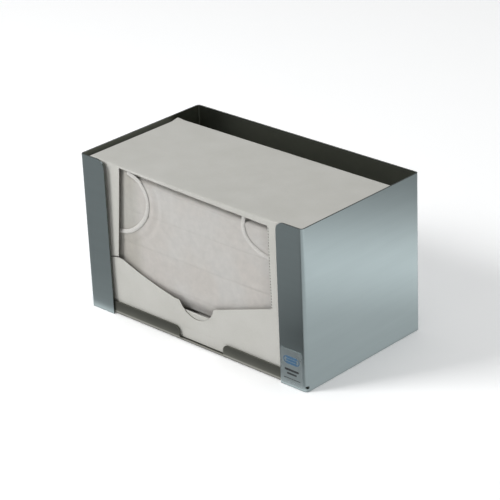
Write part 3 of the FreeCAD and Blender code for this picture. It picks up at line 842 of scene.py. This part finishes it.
def makeMillSteel():
    # the same stainless as it leaves the rolls, 2B: duller, warmer and darker, with soft clouds; the
    # darker tone is partly painted shade at the tray's foot
    size = {"rollMark": 0.8, "rollLength": 30.0, "cloud": 22.0,
            "bendLow": (0.8, 1.3), "bendHigh": (3.0, 2.2)}
    material, tree, shader, place = newMaterial("cold_rolled_stainless", {
        "Base Color": linear("#7d7e76"), "Metallic": 1.0, "Roughness": 0.36, "Anisotropic": 0.3,
    })
    rolled = addNode(tree, "Mapping", {}, {
        "Vector": place,
        "Scale": (perMetre(size["rollLength"]), perMetre(size["rollMark"]),
                  perMetre(size["rollMark"]))})
    marks = addNode(tree, "TexNoise", {}, {
        "Vector": rolled.outputs[0], "Scale": 1.0, "Detail": 3.0})
    clouds = addNode(tree, "TexNoise", {}, {
        "Vector": place, "Scale": perMetre(size["cloud"]), "Detail": 3.0})
    tone = addNode(tree, "Mix", {"data_type": "RGBA"}, {
        "Factor": clouds.outputs["Fac"], 6: linear("#6c6d65"), 7: linear("#86877f")})
    # a lighter band low on the front bend: painted highlight for the carton's reflection there, partly
    # wear rubbed by cartons and fingers
    spread = addNode(tree, "SeparateXYZ", {}, {0: place})
    bendHighlightRamps = []
    for start, stop in (size["bendLow"], size["bendHigh"]):
        bendHighlightRamps.append(addNode(tree, "MapRange", {"interpolation_type": "SMOOTHSTEP"}, {
            "Value": spread.outputs["Z"], "From Min": start * millimetre,
            "From Max": stop * millimetre}).outputs[0])
    bright = addNode(tree, "Math", {"operation": "MULTIPLY"}, {0: bendHighlightRamps[0], 1: bendHighlightRamps[1]})
    tone = addNode(tree, "Mix", {"data_type": "RGBA"}, {
        "Factor": bright.outputs[0], 6: tone.outputs[2], 7: linear("#b4b3ab")})
    rough = addNode(tree, "MapRange", {}, {
        "Value": marks.outputs["Fac"], "From Min": 0.3, "From Max": 0.7,
        "To Min": 0.32, "To Max": 0.42})
    relief = addNode(tree, "Bump", {}, {
        "Height": marks.outputs["Fac"], "Strength": 0.1, "Distance": 0.02 * millimetre})
    feed(tree, shader, {"Base Color": tone.outputs[2], "Roughness": rough.outputs[0],
                        "Normal": relief.outputs[0]})
    return material


def makeBoard(name, light, dark, fibre):
    # uncoated grey-white folding board: matt, faintly mottled, with fibres in it
    size = {"fibre": fibre, "mottle": 14.0, "stain": 60.0}
    material, tree, shader, place = newMaterial(name, {
        "Base Color": linear(light), "Roughness": 0.82, "Specular IOR Level": 0.3,
    })
    fibres = addNode(tree, "TexNoise", {}, {
        "Vector": place, "Scale": perMetre(size["fibre"]), "Detail": 5.0, "Roughness": 0.65})
    mottle = addNode(tree, "TexNoise", {}, {
        "Vector": place, "Scale": perMetre(size["mottle"]), "Detail": 3.0})
    stain = addNode(tree, "TexNoise", {}, {
        "Vector": place, "Scale": perMetre(size["stain"]), "Detail": 2.0})
    both = addNode(tree, "Math", {"operation": "ADD"}, {
        0: fibres.outputs["Fac"], 1: mottle.outputs["Fac"]})
    both = addNode(tree, "Math", {"operation": "ADD"}, {
        0: both.outputs[0], 1: stain.outputs["Fac"]})
    shade = addNode(tree, "MapRange", {}, {
        "Value": both.outputs[0], "From Min": 1.1, "From Max": 1.9})
    tone = addNode(tree, "Mix", {"data_type": "RGBA"}, {
        "Factor": shade.outputs[0], 6: linear(dark), 7: linear(light)})
    relief = addNode(tree, "Bump", {}, {
        "Height": fibres.outputs["Fac"], "Strength": 0.35, "Distance": 0.05 * millimetre})
    feed(tree, shader, {"Base Color": tone.outputs[2], "Normal": relief.outputs[0]})
    return material


def makeNonwoven(name, light, dark, shadedSpan=None):
    # thermally bonded polypropylene nonwoven: cloudy fibre, rows of tiny pressed bond points
    size = {"bondPitch": 1.3, "cloud": 5.0, "fold": 30.0, "fibre": 0.4}
    material, tree, shader, place = newMaterial(name, {
        "Base Color": linear(light), "Roughness": 0.75, "Specular IOR Level": 0.25,
        "Sheen Weight": 0.12, "Sheen Roughness": 0.5,
    })
    bonds = addNode(tree, "TexVoronoi", {"feature": "F1"}, {
        "Vector": place, "Scale": perMetre(size["bondPitch"]), "Randomness": 0.25})
    clouds = addNode(tree, "TexNoise", {}, {
        "Vector": place, "Scale": perMetre(size["cloud"]), "Detail": 5.0, "Roughness": 0.65})
    folds = addNode(tree, "TexNoise", {}, {
        "Vector": place, "Scale": perMetre(size["fold"]), "Detail": 2.0})
    fibres = addNode(tree, "TexNoise", {}, {
        "Vector": place, "Scale": perMetre(size["fibre"]), "Detail": 3.0})
    dots = addNode(tree, "MapRange", {}, {
        "Value": bonds.outputs["Distance"], "From Min": 0.12, "From Max": 0.34})
    shade = addNode(tree, "MapRange", {}, {
        "Value": clouds.outputs["Fac"], "From Min": 0.3, "From Max": 0.72})
    tone = addNode(tree, "Mix", {"data_type": "RGBA"}, {
        "Factor": shade.outputs[0], 6: linear(dark), 7: linear(light)})
    warm = addNode(tree, "MapRange", {}, {
        "Value": folds.outputs["Fac"], "From Min": 0.4, "From Max": 0.62, "To Max": 0.5})
    tone = addNode(tree, "Mix", {"data_type": "RGBA", "blend_type": "MULTIPLY"}, {
        "Factor": warm.outputs[0], 6: tone.outputs[2], 7: linear("#fbf5f1")})
    if shadedSpan:
        # painted shade: darker towards the mask's left side, for the shade that falls there beside the
        # carton's left strip
        spread = addNode(tree, "SeparateXYZ", {}, {0: place})
        grey = addNode(tree, "MapRange", {"interpolation_type": "SMOOTHSTEP"}, {
            "Value": spread.outputs["X"], "From Min": shadedSpan[0] * millimetre,
            "From Max": shadedSpan[1] * millimetre})
        tone = addNode(tree, "Mix", {"data_type": "RGBA", "blend_type": "MULTIPLY"}, {
            "Factor": grey.outputs[0], 6: tone.outputs[2], 7: linear("#e8e8e4")})
    pressed = addNode(tree, "Math", {"operation": "MULTIPLY_ADD"}, {
        0: fibres.outputs["Fac"], 1: 0.4, 2: dots.outputs[0]})
    relief = addNode(tree, "Bump", {}, {
        "Height": pressed.outputs[0], "Strength": 0.35, "Distance": 0.05 * millimetre})
    feed(tree, shader, {"Base Color": tone.outputs[2], "Normal": relief.outputs[0]})
    return material


def makeElastic():
    # knitted polyester elastic: soft, bright, with fine ribs along its length
    size = {"stitch": 0.7}
    material, tree, shader, place = newMaterial("knitted_elastic", {
        "Base Color": linear("#c6c4c0"), "Roughness": 0.75, "Sheen Weight": 0.1,
        "Sheen Roughness": 0.4, "Specular IOR Level": 0.2,
    })
    stitches = addNode(tree, "TexVoronoi", {"feature": "F1"}, {
        "Vector": place, "Scale": perMetre(size["stitch"]), "Randomness": 0.5})
    shade = addNode(tree, "MapRange", {}, {
        "Value": stitches.outputs["Distance"], "From Min": 0.1, "From Max": 0.6})
    tone = addNode(tree, "Mix", {"data_type": "RGBA"}, {
        "Factor": shade.outputs[0], 6: linear("#cbc9c5"), 7: linear("#b9b7b3")})
    relief = addNode(tree, "Bump", {}, {
        "Height": stitches.outputs["Distance"], "Strength": 0.4, "Distance": 0.1 * millimetre})
    feed(tree, shader, {"Base Color": tone.outputs[2], "Normal": relief.outputs[0]})
    return material


def makeFilm():
    # clear polyester label film stuck on the steel, which shines through it a little dulled
    size = {"cloud": 6.0}
    material, tree, shader, place = newMaterial("clear_polyester_film", {
        "Base Color": linear("#aab6b8"), "Metallic": 0.8, "Roughness": 0.3,
        "Coat Weight": 0.4, "Coat Roughness": 0.15,
    })
    clouds = addNode(tree, "TexNoise", {}, {
        "Vector": place, "Scale": perMetre(size["cloud"]), "Detail": 3.0})
    tone = addNode(tree, "Mix", {"data_type": "RGBA"}, {
        "Factor": clouds.outputs["Fac"], 6: linear("#a0acae"), 7: linear("#b3bfc1")})
    # painted shade: the film's up-facing cut edge is darkened so that it catches no highlight
    facing = addNode(tree, "SeparateXYZ", {}, {0: addNode(tree, "NewGeometry").outputs["Normal"]})
    edge = addNode(tree, "Math", {"operation": "GREATER_THAN"}, {0: facing.outputs["Z"], 1: 0.5})
    tone = addNode(tree, "Mix", {"data_type": "RGBA"}, {
        "Factor": edge.outputs[0], 6: tone.outputs[2], 7: linear("#4e5655")})
    rough = addNode(tree, "MapRange", {}, {
        "Value": clouds.outputs["Fac"], "From Min": 0.3, "From Max": 0.7,
        "To Min": 0.26, "To Max": 0.36})
    feed(tree, shader, {"Base Color": tone.outputs[2], "Roughness": rough.outputs[0]})
    return material


def makeInk(name, light, dark):
    # screen-printed ink, a little uneven where the mesh laid it down
    size = {"mesh": 0.6}
    material, tree, shader, place = newMaterial(name, {"Base Color": linear(light), "Roughness": 0.45})
    grains = addNode(tree, "TexNoise", {}, {
        "Vector": place, "Scale": perMetre(size["mesh"]), "Detail": 3.0})
    tone = addNode(tree, "Mix", {"data_type": "RGBA"}, {
        "Factor": grains.outputs["Fac"], 6: linear(dark), 7: linear(light)})
    feed(tree, shader, {"Base Color": tone.outputs[2]})
    return material


def dress(piece, *materials):
    piece.data.materials.clear()
    for material in materials:
        piece.data.materials.append(material)


satinSteel = makeSatinSteel()
millSteel = makeMillSteel()
board = makeBoard("grey_folding_board", "#b9b8b3", "#b1b0aa", 0.9)
# the cut edge's darker tone is partly the board's grey core, partly painted shade along the cut edges
# and perforations
boardEdge = makeBoard("cut_board_edge", "#85827b", "#75726b", 0.4)
# the outer web's painted shade darkens it towards the left, from -44 to -57 mm
outerWeb = makeNonwoven("spunbond_outer_web", "#b7b5b1", "#aeaca9", shadedSpan=(-44, -57))
filterWeb = makeNonwoven("meltblown_filter_web", "#d4d3d0", "#cbcac8")
innerWeb = makeNonwoven("spunbond_inner_web", "#cfcdca", "#c4c2c0")
elastic = makeElastic()
print("materials made")

dress(nodes["housing_wrap"], satinSteel)
dress(nodes["floor_tray"], millSteel)
for name in nodes:
    if "flap" in name or name == "carton_inner_lip":
        dress(nodes[name], board)
print("steel dressed")

dress(nodes["label_film"], makeFilm())
maskSign, bars = makeLabelPrint()
dress(maskSign, makeInk("blue_screen_ink", "#416a8a", "#365a78"))
dress(bars, makeInk("black_screen_ink", "#2b3033", "#1f2426"))
print("label made")

carton = makeCarton()
dress(carton, board, boardEdge)
thicken(carton, cartonBoard["thickness"], rimSlot=1)
print("carton made")

outer, middle, inner = makeFrontMask()
dress(outer, outerWeb)
dress(middle, filterWeb)
dress(inner, innerWeb)
noseBand = makeNoseWire()
dress(noseBand, elastic)
elastics = [makeEarLoop(side) for side in ("left", "right")]
for piece in elastics:
    dress(piece, elastic)
for piece in (outer, middle, inner, noseBand, *elastics):
    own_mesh(piece)
print("front mask made")

dents = stackedMask["dents"]
for number, name in enumerate(sorted(n for n in nodes if n.startswith("mask_"))):
    dress(makeStackedMask(name, dents[min(number, len(dents) - 1)]), outerWeb)
print("stack made")


studio = {
    "floorHalf": 4.0,           # metres
    "floorDrop": 0.0002,        # below the object's foot
    "floorGlow": 0.12,          # keeps the floor nearly white
    "surround": "#f2f4f5",
    "surroundStrength": 0.4,
    "lamps": {
        "key": {"place": (-0.85, -1.2, 1.2), "aim": (0, 0, 0.05), "size": 0.6, "watts": 24},
        "top": {"place": (0.1, 0.2, 1.6), "aim": (0, 0, 0), "size": 1.4, "watts": 7.5},
    },
}


def flatCard(name, low, high):
    # a rectangle lying flat, from one corner to the other
    (x0, y0), (x1, y1) = low, high
    card = bpy.data.objects.new(name, bpy.data.meshes.new(name))
    corners = [(x0, y0, 0), (x1, y0, 0), (x1, y1, 0), (x0, y1, 0)]
    card.data.from_pydata(corners, [], [(0, 1, 2, 3)])
    scene.collection.objects.link(card)
    return card


def makeFloor():
    half = studio["floorHalf"]
    floor = flatCard("floor", (-half, -half), (half, half))
    paint = newMaterial("pale_floor", {
        "Base Color": linear("#fbfbfb"), "Roughness": 0.9, "Specular IOR Level": 0.1,
        "Emission Color": linear("#ffffff"), "Emission Strength": studio["floorGlow"]})
    dress(floor, paint[0])
    floor.location.z = -studio["floorDrop"]


def addLamp(name, facts):
    light = bpy.data.lights.new(name, "AREA")
    light.shape = "SQUARE"
    light.size = facts["size"]
    light.energy = facts["watts"]
    lamp = bpy.data.objects.new(name, light)
    lamp.location = facts["place"]
    beam = Vector(facts["aim"]) - Vector(facts["place"])
    lamp.rotation_euler = beam.to_track_quat("-Z", "Y").to_euler()
    scene.collection.objects.link(lamp)


# Glowing grey sheets laid on the table, which only polished surfaces see, as they are hidden from the
# camera and from matt ones: their glow paints the reflections in the steel. Each has tones at
# distances in metres from the middle along one line. Heights above the table are in millimetres.
reflectorSheets = {
    "around": {
        "from": (-1.5, -1.5), "to": (1.5, 1.6), "height": 0.05, "along": (0, 1, 0),
        "tones": [(-1.5, "#b4b4b4"), (1.5, "#b4b4b4")],
    },
    "right": {
        "from": (0.098, -1.2), "to": (1.4, 1.6), "height": 0.1, "along": (0.7071, 0.7071, 0),
        "tones": [(0.060, "#bcbcbc"), (0.130, "#c4c4c4"), (0.163, "#dcdcdc"), (0.203, "#f6f6f6"),
                  (0.240, "#ebebeb"), (0.285, "#bbbbbb"), (0.330, "#8a8a8a"), (0.450, "#7a7a7a")],
    },
    "front": {
        "from": (-1.4, -1.6), "to": (0.098, -0.0555), "height": 0.1, "along": (0, -1, 0),
        "tones": [(0.0555, "#ededed"), (0.0590, "#959595"), (0.075, "#8e8e8e"),
                  (0.105, "#848484"), (1.6, "#848484")],
    },
    "shade": {
        "from": (-0.02, -1.2), "to": (0.098, -0.088), "height": 0.15, "along": (1, 0, 0),
        "tones": [(-0.02, "#848484"), (0.025, "#6d6d6d"), (0.045, "#4c4c4c"), (0.07, "#3a3a3a")],
    },
}


def layReflector(name, sheet):
    card = flatCard(f"reflector_{name}", sheet["from"], sheet["to"])
    card.location.z = sheet["height"] * millimetre
    card.visible_camera = card.visible_diffuse = card.visible_shadow = False
    card.visible_transmission = False
    # emission: each sheet glows, and its tones paint the reflections the steel shows
    glowPaint, tree, glow, place = newMaterial(f"reflector_{name}", {"Strength": 1.0}, "Emission")
    away = addNode(tree, "VectorMath", {"operation": "DOT_PRODUCT"}, {0: place, 1: sheet["along"]})
    tones = sheet["tones"]
    first, last = tones[0][0], tones[-1][0]
    share = addNode(tree, "MapRange", {}, {
        "Value": away.outputs["Value"], "From Min": first, "From Max": last})
    ramp = addNode(tree, "ValToRGB", {}, {"Fac": share.outputs[0]})
    stops = ramp.color_ramp.elements
    places = [(distance - first) / (last - first) for distance, _ in tones]
    for at in places[1:-1]:
        stops.new(at)
    for stop, at, (_, tone) in zip(stops, places, tones):
        stop.position = at
        stop.color = linear(tone)
    feed(tree, glow, {"Color": ramp.outputs["Color"]})
    dress(card, glowPaint)


makeFloor()
for name, sheet in reflectorSheets.items():
    layReflector(name, sheet)
for name, facts in studio["lamps"].items():
    addLamp(name, facts)
scene.world = bpy.data.worlds.new("studio")
scene.world.use_nodes = True
surround = scene.world.node_tree.nodes["Background"].inputs
surround["Color"].default_value = linear(studio["surround"])
surround["Strength"].default_value = studio["surroundStrength"]
scene.view_settings.view_transform = "Standard"
print("stage set")
